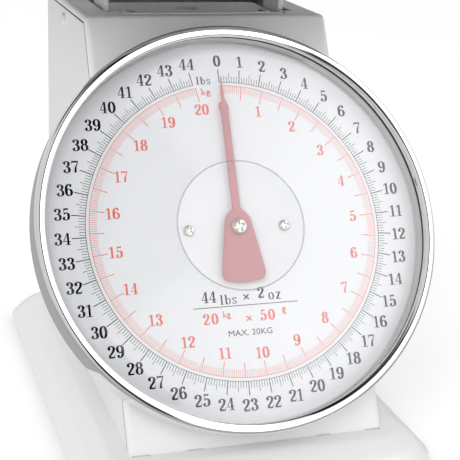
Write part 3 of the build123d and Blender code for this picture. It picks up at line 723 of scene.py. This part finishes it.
class BuildDialFigures(bpy.types.Operator):
    """Dial figures: upright numbers by pen strokes, and the units"""

    bl_idname = "dialscale.figures"
    bl_label = "Figures"

    def execute(self, context):
        high, small = sizes().number_height / MM, sizes().kilo_height / MM
        pound = FULL_TURN / FULL_KG * POUND
        rule = np.array([[-30.4, -43.5], [30.5, -43.5]])
        black = [word(str(n), high, *clock(n * pound, 98.3)) for n in range(45)]
        black += [word("lbs", 4.5, -9.4, 86.8, 0.09, 0.07, wide=1.35), word("44", 6.2, -21.0, -37.7),
                  word("lbs", 5.4, -9.9, -39.6, 0.1, 0.05, wide=1.28), word("x", 6.6, 0.4, -37.6),
                  word("2", 6.2, 9.3, -37.2), word("oz", 6.4, 17.2, -38.3, 0.12, 0.05, wide=1.16),
                  slab(rule + [0, 0.2], rule - [0, 0.2], False)]
        points, faces = joined(black)
        piece("black_figures", on_dial(points), faces, "stand", "dial_print", [black_ink()], weld=False)
        kilo = FULL_TURN / FULL_KG
        red = [word(str(n), small, *clock(n * kilo, 70.7)) for n in range(21)]
        red += [word("kg", 4.0, -8.7, 80.1, wide=1.3), word("20", 6.0, -21.2, -49.8, spacing=0.14),
                word("kg", 3.8, -11.9, -47.8), word("x", 6.6, 0.6, -49.6),
                word("50", 6.0, 11.7, -49.8, spacing=0.14), word("g", 4.3, 21.8, -47.0)]
        points, faces = joined(red)
        piece("red_figures", on_dial(points), faces, "stand", "dial_print", [red_ink()], weld=False)
        plain_text("capacity_text", "MAX. 20KG", 25.3, 3.3, 0.7, -58.6)
        return {"FINISHED"}


def plain_text(name, text, wide, high, x, y):
    """Plain upright lettering made a mesh, scaled to its width and height and laid on the dial."""
    curve = bpy.data.curves.new(name, "FONT")
    curve.body = text
    curve.extrude = 0.02
    curve.resolution_u = 3
    words = bpy.data.objects.new(name + "_curve", curve)
    bpy.context.scene.collection.objects.link(words)
    bpy.context.view_layer.update()
    mesh = bpy.data.meshes.new_from_object(words.evaluated_get(bpy.context.evaluated_depsgraph_get()))
    bpy.data.objects.remove(words)
    points = np.empty(len(mesh.vertices) * 3)
    mesh.vertices.foreach_get("co", points)
    points = points.reshape(-1, 3)
    low, high_corner = points.min(0), points.max(0)
    span = high_corner - low
    points = (points - (low + high_corner) / 2) / span * [wide, high, 0.07] + [x, y, 0.015]
    mesh.vertices.foreach_set("co", on_dial(points).ravel())
    mesh.materials.clear()
    mesh.materials.append(black_ink())
    bpy.data.curves.remove(curve)
    made = bpy.data.objects.new(name, mesh)
    bpy.context.scene.collection.objects.link(made)
    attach(made, "stand")


class BuildBezel(bpy.types.Operator):
    """Bezel: polished ring with a straight wall, a rolled corner, a crest and an inward slope to its lip"""

    bl_idname = "dialscale.bezel"
    bl_label = "Bezel"

    def execute(self, context):
        r, lip = sizes().bezel_radius / MM, sizes().lip_radius / MM
        crest = r - 3.3
        inside = r - 1.5
        profile = soften([(r, -4.6), (r, 12.9), (r - 1.3, 14.0), (crest, 14.3), (lip + 0.7, 13.75),
                          (lip, 13.3), (lip, 10.6), (inside, 10.6), (inside, -4.6)],
                         [0.3, 1.9, 0.6, 1.1, 0.6, 0.4, 0.2, 0.2, 0.2], 11, True)
        round_piece("bezel_ring", profile, on_dial, "stand", "chrome", [polished_chrome()], ["bezel"],
                    ring=True, turns=288, sharp=40)
        return {"FINISHED"}


class BuildLens(bpy.types.Operator):
    """Lens: clear dished window with a shoulder near its rim and one fine ring on its inner side"""

    bl_idname = "dialscale.lens"
    bl_label = "Lens"

    def execute(self, context):
        under = soften([(0, 9.4), (36.15, 9.4), (36.3, 9.65), (36.8, 9.65), (36.95, 9.4), (100.5, 9.4),
                        (106.5, 8.2), (113.2, 8.2)],
                       [0, 0.05, 0.05, 0.05, 0.05, 3.0, 1.0, 0], 5)
        over = soften([(113.2, 8.2), (113.2, 10.6), (108.6, 10.6), (101.5, 11.8), (0, 11.8)],
                      [0, 0.2, 2.0, 4.0, 0], 9)
        profile = np.vstack([under, over[1:]])
        finishes = [clear_lens(), clear_lens("lens_fine_ring", 0.55)]
        made = round_piece("lens_window", profile, on_dial, "stand", "lens_clear", finishes, ["lens"],
                           turns=240, sharp=60)
        faces = made.data.polygons
        centres = np.empty(len(faces) * 3)
        faces.foreach_get("center", centres)
        local = (centres.reshape(-1, 3) - HUB) @ DIAL.T / MM
        radius = np.hypot(local[:, 0], local[:, 1])
        ring = (radius > 36.1) & (radius < 37.0) & (local[:, 2] < 10.5)
        faces.foreach_set("material_index", ring.astype(np.int32))
        return {"FINISHED"}


class BuildPointer(bpy.types.Operator):
    """Pointer: thin painted plate with a fine needle, a spade tip, a round hub and a flared tail"""

    bl_idname = "dialscale.pointer"
    bl_label = "Pointer"

    def execute(self, context):
        outline = soften([(0, 87.5), (0.45, 84.5), (0.8, 74), (2.7, 70), (2.45, 67.5), (2.2, 64), (2.4, 10.5),
                          (4.6, 8.6), (7.0, 6.0), (8.2, 1.0), (12.9, -26.3), (11.2, -29.9), (0, -31)],
                         [0, 0.4, 1.2, 1.4, 1.0, 2.0, 1.6, 1.5, 1.5, 2.5, 2.0, 1.5, 0], 7)
        s = np.concatenate([np.linspace(-1, 1, 21), np.linspace(1, -1, 21)])[None]
        half, y = outline[:, :1], outline[:, 1:]
        height = np.where(np.arange(42)[None] < 21, 4.0 - 0.22 * np.abs(s) ** 8, 3.1 + 0.12 * np.abs(s) ** 8)
        points = np.stack([half * s, y + 0 * s, height + 0 * half], -1)
        faces = grid_faces(len(outline), 42, False, True)
        boss = turned(soften([(2.01, 1.2), (4.5, 1.2), (4.5, 3.3), (2.01, 3.3)], 0.15, 4, True), 64)
        boss_faces = grid_faces(len(boss), 64, True, True)
        points, faces = joined([(points.reshape(-1, 3), faces), (boss.reshape(-1, 3), boss_faces)])
        piece("pointer_plate", on_dial(points), faces, "pointer_set", "pointer_red", [pointer_paint()],
              ["pointer"], 40)
        return {"FINISHED"}


class BuildScrews(bpy.types.Operator):
    """Screws that show: pan heads with cross recesses on the hub, dial, tray and side panels"""

    bl_idname = "dialscale.screws"
    bl_label = "Screws"

    def execute(self, context):
        rows = 33
        faces = grid_faces(rows, 96, False, True)
        hub = screw_grid(4.65, 2.6, 1.2, 4.0, 0.35)
        piece("hub_screw", on_dial(hub + [0, 0, 4.0]), faces, "pointer_set", "zinc_steel", [nickel()],
              ["pointer_screw"], 60)
        dial = joined([(on_dial(screw_grid(3.35, 1.9, 2.0, 6.0, t) + [x, 0, 0]).reshape(-1, 3), faces)
                       for x, t in ((-28.0, 0.9), (28.0, 0.2))])
        piece("dial_face_screws", *dial, "stand", "zinc_steel", [nickel()], ["dial_screws"], 60)
        tray = joined([(upright(screw_grid(4.1, 2.6, 2.0, 6.0, t) + [x, 12.0, 230.0]).reshape(-1, 3), faces)
                       for x, t in ((-41.5, 0.5), (41.5, 1.2))])
        piece("tray_pan_screws", *tray, "load", "zinc_steel", [nickel()], ["tray_screws"], 60)
        side = []
        for s, t in ((-1, 0.7), (1, 0.4)):
            points = placed(screw_grid(3.8, 2.2, 1.8, 4.8, t), (s * 73.0, 51.5, 221.5), (s, 0, 0), (0, 1, 0))
            side.append((points.reshape(-1, 3), faces))
        piece("panel_screws", *joined(side), "stand", "white_steel", [powder_coat()],
              ["side_panel_screws"], 60)
        return {"FINISHED"}


class BuildWorks(bpy.types.Operator):
    """Works: load frame, tray, links, springs, movement and spider in their finishes"""

    bl_idname = "dialscale.works"
    bl_label = "Works"

    def execute(self, context):
        dress(["main_frame", "upper_link", "lower_link", "driver_arm", "spring_hanger", "platform_spider",
               "movement_front_plate", "movement_rear_plate"], galvanised_sheet())
        dress(["load_frame", "load_tray"], satin_sheet())
        dress(["spindle", "rack_pin", "movement_posts", "frame_screws", "frame_nuts", "frame_shafts",
               "shaft_clips", "load_shafts", "driver_screws", "spring_left", "spring_right", "spider_bolts",
               "spider_nuts"], zinc_plate())
        dress(["pinion", "rack", "rack_guide", "spindle_bushes", "zero_screw"], turned_brass())
        dress(["platform_pads"], matt_rubber())
        return {"FINISHED"}


class BuildPlatform(bpy.types.Operator):
    """Platform: brushed stainless pan over the pads"""

    bl_idname = "dialscale.platform"
    bl_label = "Platform"

    def execute(self, context):
        dress(["platform"], brushed_stainless())
        return {"FINISHED"}


class BuildStage(bpy.types.Operator):
    """Studio: pale floor, soft light, surroundings and the camera"""

    bl_idname = "dialscale.stage"
    bl_label = "Studio"

    def execute(self, context):
        scene = context.scene
        s = np.linspace(-1, 1, 9)
        x, y = np.meshgrid(s * 6, s * 6)
        points = np.stack([x, y, 0 * x], -1)
        mesh = bpy.data.meshes.new("studio_floor")
        mesh.from_pydata(points.reshape(-1, 3).tolist(), [], grid_faces(9, 9, False, False).tolist())
        paper = finish("studio_floor", tuning().floor_white, 0.004, (0.7, 0.8), scale=4, bump=0.0,
                       depth=0.001)
        paper_sweep(paper.node_tree)
        mesh.materials.append(paper)
        floor = bpy.data.objects.new("studio_floor", mesh)
        scene.collection.objects.link(floor)
        studio_light("front_light", (-1.2, -1.8, 2.0), (0, -0.05, 0.12), 1.6, 21)
        studio_world(scene)
        scene.view_settings.view_transform = "Standard"
        camera = bpy.data.cameras.new("camera")
        camera.lens = 96.6
        camera.sensor_width = 36.0
        holder = bpy.data.objects.new("camera", camera)
        scene.collection.objects.link(holder)
        right = (0.95216828, -0.30304919, 0.03920145)
        down = (-0.05886772, -0.30780075, -0.94962797)
        ahead = (0.29985022, 0.90189794, -0.31091793)
        spot = HUB + np.array([-0.210816, -0.622147, 0.213676])
        stand_at(holder, right, [-v for v in down], [-v for v in ahead], spot)
        scene.camera = holder
        return {"FINISHED"}


def stand_at(holder, across, lift, away, spot):
    """Puts a camera or light at a spot with its own x, y and z along the three directions."""
    holder.matrix_world = Matrix([*zip(across, lift, away, spot), (0, 0, 0, 1)])


def paper_sweep(tree):
    """Lit paper: a faint glow of its own, and a mid grey where polished metal mirrors it."""
    shader = tree.nodes["Principled BSDF"]
    shader.inputs["Emission Color"].default_value = (1, 1, 1, 1)
    shader.inputs["Emission Strength"].default_value = 0.2
    path = tree.nodes.new("ShaderNodeLightPath")
    grey = tree.nodes.new("ShaderNodeEmission")
    grey.inputs["Color"].default_value = (0.42, 0.42, 0.42, 1)
    mix = tree.nodes.new("ShaderNodeMixShader")
    tree.links.new(path.outputs["Is Glossy Ray"], mix.inputs["Fac"])
    tree.links.new(shader.outputs["BSDF"], mix.inputs[1])
    tree.links.new(grey.outputs["Emission"], mix.inputs[2])
    tree.links.new(mix.outputs["Shader"], tree.nodes["Material Output"].inputs["Surface"])


def backdrop(tree, strength):
    """One even white surrounding of the given strength."""
    made = tree.nodes.new("ShaderNodeBackground")
    made.inputs["Color"].default_value = (1, 1, 1, 1)
    made.inputs["Strength"].default_value = strength
    return made


def studio_world(scene):
    """White to the camera, even and pale to matt surfaces, and a room of its own to polished ones."""
    world = bpy.data.worlds.new("studio")
    scene.world = world
    world.use_nodes = True
    tree = world.node_tree
    tree.nodes.remove(tree.nodes["Background"])
    even, seen, room = backdrop(tree, 0.8), backdrop(tree, 1.0), backdrop(tree, 3.3)
    tree.links.new(mirrored_room(tree), room.inputs["Color"])
    path = tree.nodes.new("ShaderNodeLightPath")
    by_gloss = tree.nodes.new("ShaderNodeMixShader")
    by_camera = tree.nodes.new("ShaderNodeMixShader")
    tree.links.new(path.outputs["Is Glossy Ray"], by_gloss.inputs["Fac"])
    tree.links.new(even.outputs["Background"], by_gloss.inputs[1])
    tree.links.new(room.outputs["Background"], by_gloss.inputs[2])
    tree.links.new(path.outputs["Is Camera Ray"], by_camera.inputs["Fac"])
    tree.links.new(by_gloss.outputs["Shader"], by_camera.inputs[1])
    tree.links.new(seen.outputs["Background"], by_camera.inputs[2])
    tree.links.new(by_camera.outputs["Shader"], tree.nodes["World Output"].inputs["Surface"])


def mirrored_room(tree):
    """Grey of the room by direction. The front half goes by s = x - 0.228 z, with one dark gap between bright
    walls, and is darkened overhead; the back half is even."""
    stops = [(0.0, 0.2), (0.415, 0.22), (0.425, 0.02), (0.521, 0.012), (0.528, 0.42), (0.58, 0.75),
             (0.635, 1.0), (0.8, 0.5), (1.0, 0.2)]
    back_grey = 0.23
    place = tree.nodes.new("ShaderNodeTexCoord")
    split = tree.nodes.new("ShaderNodeSeparateXYZ")
    tilt = tree.nodes.new("ShaderNodeMath")
    tilt.operation = "MULTIPLY_ADD"
    tilt.inputs[1].default_value = -0.228
    spread = tree.nodes.new("ShaderNodeMapRange")
    spread.inputs["From Min"].default_value = -1
    spread.inputs["From Max"].default_value = 1
    ramp = tree.nodes.new("ShaderNodeValToRGB")
    ends = ramp.color_ramp.elements
    for end, (at, grey) in zip(ends, (stops[0], stops[-1])):
        end.color = (grey, grey, grey, 1)
    for at, grey in stops[1:-1]:
        ends.new(at).color = (grey, grey, grey, 1)
    ceiling = tree.nodes.new("ShaderNodeMapRange")
    ceiling.inputs["From Min"].default_value = 0.83
    ceiling.inputs["From Max"].default_value = 0.87
    ceiling.inputs["To Min"].default_value = 1.0
    ceiling.inputs["To Max"].default_value = 0.12
    lid = tree.nodes.new("ShaderNodeMix")
    lid.data_type = "RGBA"
    lid.blend_type = "MULTIPLY"
    lid.inputs["Factor"].default_value = 1.0
    behind = tree.nodes.new("ShaderNodeMath")
    behind.operation = "GREATER_THAN"
    behind.inputs[1].default_value = 0.0
    pick = tree.nodes.new("ShaderNodeMix")
    pick.data_type = "RGBA"
    pick.inputs["B"].default_value = (back_grey, back_grey, back_grey, 1)
    tree.links.new(place.outputs["Generated"], split.inputs["Vector"])
    tree.links.new(split.outputs["Z"], tilt.inputs[0])
    tree.links.new(split.outputs["X"], tilt.inputs[2])
    tree.links.new(tilt.outputs["Value"], spread.inputs["Value"])
    tree.links.new(spread.outputs["Result"], ramp.inputs["Fac"])
    tree.links.new(split.outputs["Z"], ceiling.inputs["Value"])
    tree.links.new(ramp.outputs["Color"], lid.inputs["A"])
    tree.links.new(ceiling.outputs["Result"], lid.inputs["B"])
    tree.links.new(split.outputs["Y"], behind.inputs[0])
    tree.links.new(behind.outputs["Value"], pick.inputs["Factor"])
    tree.links.new(lid.outputs["Result"], pick.inputs["A"])
    return pick.outputs["Result"]


def studio_light(name, spot, aim, size, power):
    """A square soft light that faces its aim."""
    light = bpy.data.lights.new(name, "AREA")
    light.size = size
    light.energy = power
    holder = bpy.data.objects.new(name, light)
    holder.visible_glossy = False
    bpy.context.scene.collection.objects.link(holder)
    away = np.array(spot, float) - np.array(aim, float)
    away /= np.linalg.norm(away)
    across = np.cross([0.0, 0.0, 1.0], away)
    across /= np.linalg.norm(across)
    lift = np.cross(away, across)
    stand_at(holder, across, lift, away, spot)


BUILDERS = (BuildStage, BuildPlinth, BuildFeet, BuildHousing, BuildDialFace, BuildDialScale, BuildDialFigures,
            BuildBezel, BuildLens, BuildPointer, BuildScrews, BuildWorks, BuildPlatform)


class ScalePanel(bpy.types.Panel):
    """Sidebar panel with the scale's sizes, colours and builders"""

    bl_idname = "VIEW3D_PT_dial_scale"
    bl_label = "Dial Scale"
    bl_space_type = "VIEW_3D"
    bl_region_type = "UI"
    bl_category = "Scale"

    def draw(self, context):
        for group in (context.scene.dial_scale_sizes, context.scene.dial_scale_colours):
            column = self.layout.column()
            for name in group.__annotations__:
                column.prop(group, name)
        for builder in BUILDERS:
            self.layout.operator(builder.bl_idname)


def register():
    for one in (ScaleSizes, ScaleColours, *BUILDERS, ScalePanel):
        bpy.utils.register_class(one)
    bpy.types.Scene.dial_scale_sizes = PointerProperty(type=ScaleSizes)
    bpy.types.Scene.dial_scale_colours = PointerProperty(type=ScaleColours)


def unregister():
    del bpy.types.Scene.dial_scale_colours
    del bpy.types.Scene.dial_scale_sizes
    for one in reversed((ScaleSizes, ScaleColours, *BUILDERS, ScalePanel)):
        bpy.utils.unregister_class(one)


def main():
    register()
    for builder in BUILDERS:
        group, name = builder.bl_idname.split(".")
        getattr(getattr(bpy.ops, group), name)()


if __name__ == "__main__":
    main()
